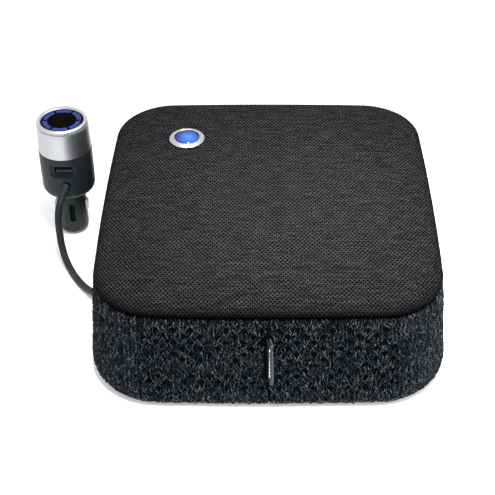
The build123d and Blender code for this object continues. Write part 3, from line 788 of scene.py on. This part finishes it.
# A leg's distance from its stitch's middle at foot and head, in columns, and its reach, in rows, for
# plain stitches and for the arches over eyelets. Then how unevenly the legs lie, and how much calmer
# the corners are.
FOOT_PLAIN, HEAD_PLAIN, REACH_PLAIN = 0.03, 0.47, 1.30
FOOT_ARCH, HEAD_ARCH, REACH_ARCH = 0.62, 0.12, 0.95
END_SHAKE, BOW_SHAKE, REACH_SHAKE, RISE_SHAKE = 0.15, 0.10, 0.18, 0.12
CORNER_CALM = 0.55

# Height of the legs above the ground in millimetres at their ends, what their middles and the arches
# add to it, and the parts of their radius that their ends keep, vary by and gain at the corners.
LIFT, LIFT_SHAKE, LIFT_MIDDLE, LIFT_ARCH = 0.45, 0.30, 0.50, 0.25
END_SIZE, SIZE_SHAKE, SIZE_CORNER = 0.6, 0.20, 0.18

# The front seam, half its gap in the knit, and the room left for the label on either side of it. The
# wider room on the left is partly room for the label and partly shows the black ground as painted
# shadow of the label.
SEAM_X = 0.3
SEAM_GAP = 0.5
LABEL_ROOM_AND_SHADOW_LEFT, LABEL_ROOM_RIGHT, LABEL_ROOM_ENDS = 3.2, 1.0, 1.0


def left_out(around, perimeter, rng):
    """Stitches that the lace leaves out, as a grid of columns and rows. `around` is the way round from
    the middle of the front in millimetres. Two rows make a course, and the eyelets of one course stand
    between the next one's. The corners and the foot are plain, and so is a strip half way up from the
    middle of the front round to the middle of the left side."""
    column, row = np.meshgrid(np.arange(BAND_COLUMNS), np.arange(BAND_ROWS), indexing="ij")
    course = row // 2
    from_front = np.minimum(around, perimeter - around)[:, None]
    flat = (from_front < FRONT_LACE) | (from_front > perimeter / 2 - FRONT_LACE)
    flat |= abs(from_front - perimeter / 4) < SIDE_LACE
    lace = flat & (course >= LACE_LOW) & (course <= LACE_HIGH)
    lace &= (row % 2 == 0) & ((column + 2 * (course % 2)) % 4 == 1)
    plain = (around < perimeter / 4)[:, None] & np.isin(course, PLAIN_COURSES)
    closed = rng.random(lace.shape) < CLOSED_SHARE
    return lace & ~plain & ~closed


def beside(gone, columns, rows):
    """1.0 where the stitch that lies `columns` and `rows` away is left out."""
    return np.roll(gone, (-columns, -rows), (0, 1)) * 1.0


def add_stitches():
    """Lace knit. Each stitch is a V of two thin legs. The stitches round an eyelet lean away from it,
    and the one above it is an arch."""
    rng = np.random.default_rng(7)
    surface = BandSurface(GROUND_INSET)
    perimeter = surface.round
    column_width = perimeter / BAND_COLUMNS
    row_rise = (surface.height - LIP - ROW_MARGIN) / BAND_ROWS
    middles = (np.arange(BAND_COLUMNS) + 0.5) * column_width
    gone = left_out(middles, perimeter, rng)
    size = 1 + 0.25 * rng.normal(0, 1, gone.shape)
    push = LEAN_BESIDE * size * (beside(gone, -1, 0) - beside(gone, 1, 0))
    on_left = beside(gone, -1, -1) + beside(gone, -1, 1)
    push += LEAN_OFF_ROW * (on_left - beside(gone, 1, -1) - beside(gone, 1, 1))
    heave = size * (HEAVE_ABOVE * beside(gone, 0, -1) - HEAVE_BELOW * beside(gone, 0, 1))
    arched = beside(gone, 0, -1) > 0
    grid = np.meshgrid(np.arange(BAND_COLUMNS), np.arange(BAND_ROWS), (-1, 1), indexing="ij")
    column, row, side = (a.ravel()[~gone[grid[0], grid[1]].ravel()] for a in grid)
    from_front = np.minimum(middles, perimeter - middles)[column]
    corner = (from_front > FRONT_LACE + 2) & (abs(from_front - perimeter / 4) > SIDE_LACE)
    wild = np.where(corner, CORNER_CALM, 1.0)
    count = len(column)
    steps = 5
    along = np.linspace(0, 1, steps)
    shake = rng.normal(0, 1, (7, count)) * wild
    arch = arched[column, row]
    foot = np.where(arch, FOOT_ARCH, FOOT_PLAIN) * side + END_SHAKE * shake[0]
    head = np.where(arch, HEAD_ARCH, HEAD_PLAIN) * side + END_SHAKE * shake[1]
    bow = BOW_SHAKE * shake[2][:, None] * np.sin(math.pi * along)
    across = (foot + push[column, row])[:, None] + (head - foot)[:, None] * along + bow
    reach = np.where(arch, REACH_ARCH, REACH_PLAIN + REACH_SHAKE * shake[3])[:, None]
    rise = (row + 0.5 + heave[column, row] + RISE_SHAKE * shake[4])[:, None] + (along - 0.5) * reach
    rise = rise * row_rise + FOOT_CLEAR
    swell = np.sin(math.pi * along) ** 0.7
    lift = LIFT + LIFT_SHAKE * shake[5][:, None] + (LIFT_MIDDLE + LIFT_ARCH * arch)[:, None] * swell
    radius = STRAND_R * (1 + SIZE_SHAKE * shake[6] + SIZE_CORNER * corner)[:, None]
    radius = radius * (END_SIZE + (1 - END_SIZE) * swell)
    x_front = -((column + 0.5)[:, None] + across) * column_width
    x_front = np.where(x_front < -perimeter / 2, x_front + perimeter, x_front)
    z = np.interp(rise, surface.run, surface.z)
    seam = abs(x_front - SEAM_X) < SEAM_GAP
    # Left of the label the gap is wider, and the black ground in it stands in for the label's shadow.
    opening = (x_front > SEAM_X - LABEL_ROOM_AND_SHADOW_LEFT) & (x_front < SEAM_X + LABEL_ROOM_RIGHT)
    opening &= (z > LABEL_LOW[2] - LABEL_ROOM_ENDS) & (z < LABEL_HIGH[2] + LABEL_ROOM_ENDS)
    shown = ~(seam | opening)[:, 1:-1].any(axis=1)
    across, rise, lift, radius, column = (a[shown] for a in (across, rise, lift, radius, column))
    turn = ((column + 0.5)[:, None] + across) / BAND_COLUMNS
    ring_turn = turn[..., None] + radius[..., None] * np.cos(RING_ANGLES) / perimeter
    ring_rise = np.clip(rise, 0.1, surface.height - LIP)[..., None]
    ring_lift = lift[..., None] + radius[..., None] * np.sin(RING_ANGLES)
    points = surface.at(ring_turn, ring_rise, ring_lift).reshape(-1, 3)
    points[:, 2] = np.maximum(points[:, 2], FLOOR_CLEAR)
    stitches = quad_piece("band_stitches", points, tube_quads(len(column), steps), YARNS[0])
    for yarn in YARNS[1:]:
        stitches.data.materials.append(yarn)
    shade = rng.choice(len(YARNS), len(column), p=YARN_SHARES).astype(np.int32)
    each = np.concatenate([np.repeat(shade, (steps - 1) * 4), shade, shade])
    stitches.data.polygons.foreach_set("material_index", each)
    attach(stitches, "pod")


# ---------------------------------------------------------------- ribbon label
# Heights of a crease across the ribbon, painted black as shade.
SHADED_CREASE_LOW, SHADED_CREASE_HIGH = 52.6, 53.8
RIBBON_T = 0.5
RIBBON_HALF_GAP = 0.85
RIBBON_DEPTH = 9.5
RIBBON_SWAY = 0.25


def add_label():
    """Ribbon folded on itself and sewn into the front seam, with a line of stitches at its fold. Its
    left ply and a narrow crease near its top are black as painted shade.
    """
    low, high = LABEL_LOW[2], LABEL_HIGH[2]
    front_y = LABEL_LOW[1]
    root = np.array([SEAM_X + 0.2, front_y + RIBBON_DEPTH])
    fold = np.array([LABEL_HIGH[0] - 1.5, front_y + 1.3])
    run = (fold - root) / np.linalg.norm(fold - root)
    side = np.array([-run[1], run[0]])
    bend = np.linspace(-math.pi / 2, math.pi / 2, 13)
    ply = np.linspace(0, 1, 8)

    def path(radius):
        """The loop at a distance `radius` from its middle line, out round the fold and back."""
        arc = [fold + radius * (run * math.cos(a) + side * math.sin(a)) for a in bend]
        out = [root + side * -radius + (arc[0] - root + side * radius) * t for t in ply[:-1]]
        home = [arc[-1] + (root + side * radius - arc[-1]) * t for t in ply[1:]]
        return np.array(out + arc + home)

    outer, inner = (path(RIBBON_HALF_GAP + out * RIBBON_T / 2) for out in (1, -1))
    section = np.concatenate([outer, inner[::-1]])
    levels = np.linspace(low, high, 25)
    rings = []
    for level in levels:
        share = (level - low) / (high - low)
        sway = RIBBON_SWAY * math.sin(share * 5.0) * side
        shrink = 1 - 0.35 * max(0.0, share - 0.86) / 0.14
        ring = root + (section - root) * np.array([1.0, shrink]) + sway
        rings.append(np.column_stack([ring, np.full(len(ring), level)]))
    faces = ring_faces(len(rings), len(section))
    half = len(outer)
    for base, flip in ((0, True), ((len(rings) - 1) * len(section), False)):
        for k in range(half - 1):
            face = (base + k, base + k + 1, base + 2 * half - 2 - k, base + 2 * half - 1 - k)
            faces.append(tuple(reversed(face)) if flip else face)
    ribbon = mesh_piece("label_ribbon", np.concatenate(rings), faces, MATERIALS["ribbon"])
    # Painted shade: the ribbon's left ply and its crease take the black plastic instead of the grey
    # ribbon.
    ribbon.data.materials.append(MATERIALS["black_plastic"])
    for polygon in ribbon.data.polygons:
        middle = np.array(polygon.center) / MM
        on_left = np.dot(middle[:2] - root, side) < -0.1
        in_shaded_crease = SHADED_CREASE_LOW < middle[2] < SHADED_CREASE_HIGH
        polygon.material_index = int(on_left or in_shaded_crease)
    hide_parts("front_label")
    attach(ribbon, "pod")
    sewn_at = fold - side * (RIBBON_HALF_GAP + 0.35) - run * 0.1
    stitches = add_label_stitches(sewn_at, side, low, high)


def add_label_stitches(place, side, low, high):
    """White stitches one above another down the ribbon's fold."""
    pitch, length, radius, steps = 2.9, 2.3, 0.55, 5
    starts = np.arange(low + 5.5, high - 2.0, pitch)
    along = np.linspace(0, 1, steps)
    size = radius * np.sqrt(np.clip(1 - (2 * along - 1) ** 4, 0.12, 1))
    across, out = np.cos(RING_ANGLES) * 0.8, np.sin(RING_ANGLES)
    points = np.zeros((len(starts), steps, 4, 3))
    points[..., 0] = place[0] + size[None, :, None] * across * abs(side[0])
    points[..., 1] = place[1] + size[None, :, None] * out
    points[..., 2] = (starts[:, None] + along * length)[..., None]
    piece = quad_piece("label_stitches", points.reshape(-1, 3), tube_quads(len(starts), steps), THREAD)
    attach(piece, "pod")
    return piece


add_label()
add_band_ground()
add_stitches()
